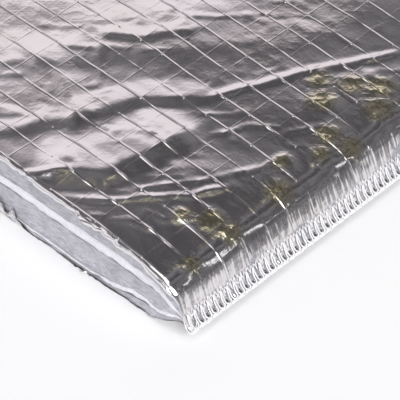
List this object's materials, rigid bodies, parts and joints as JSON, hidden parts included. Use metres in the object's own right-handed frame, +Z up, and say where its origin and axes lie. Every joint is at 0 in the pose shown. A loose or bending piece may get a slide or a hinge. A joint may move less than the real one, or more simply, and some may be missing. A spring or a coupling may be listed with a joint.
{
  "type": "foam sleeping pad",
  "caption": "Rectangular foil-faced foam sleeping pad: stacked wadding and foam sheets between scrim-reinforced metallised facings, overlocked along both long sides, raw cut ends.",
  "frame": {"origin": "centre of the pad's underside, on the surface it lies on", "axes": "+X across the pad to the stitched right side, +Y along the pad to the cut far end, +Z up through its thickness"},
  "size_m": [0.51, 1.83, 0.025],
  "materials": {
    "metallised_film": "mirror-bright, creased, metallised polyester film",
    "clear_backing_film": "thin polyethylene film",
    "scrim_yarn": "fine polyester yarn",
    "grey_wadding": "matt fibre wadding",
    "white_foam": "soft closed-cell foam",
    "white_thread": "spun polyester overlocking thread"
  },
  "bodies": {
    "root": {"bottom_outer_film": "metallised_film", "bottom_scrim_crosswise": "scrim_yarn", "bottom_scrim_lengthwise": "scrim_yarn", "bottom_backing_film": "clear_backing_film", "lower_wadding": "grey_wadding", "lower_inner_film": "metallised_film", "lower_foam_sheet": "white_foam", "middle_wadding": "grey_wadding", "upper_inner_film": "metallised_film", "upper_foam_sheet": "white_foam", "upper_wadding": "grey_wadding", "top_backing_film": "clear_backing_film", "top_scrim_lengthwise": "scrim_yarn", "top_scrim_crosswise": "scrim_yarn", "top_outer_film": "metallised_film", "left_needle_thread": "white_thread", "left_upper_looper_thread": "white_thread", "left_lower_looper_thread": "white_thread", "right_needle_thread": "white_thread", "right_upper_looper_thread": "white_thread", "right_lower_looper_thread": "white_thread"}
  },
  "joints": []
}
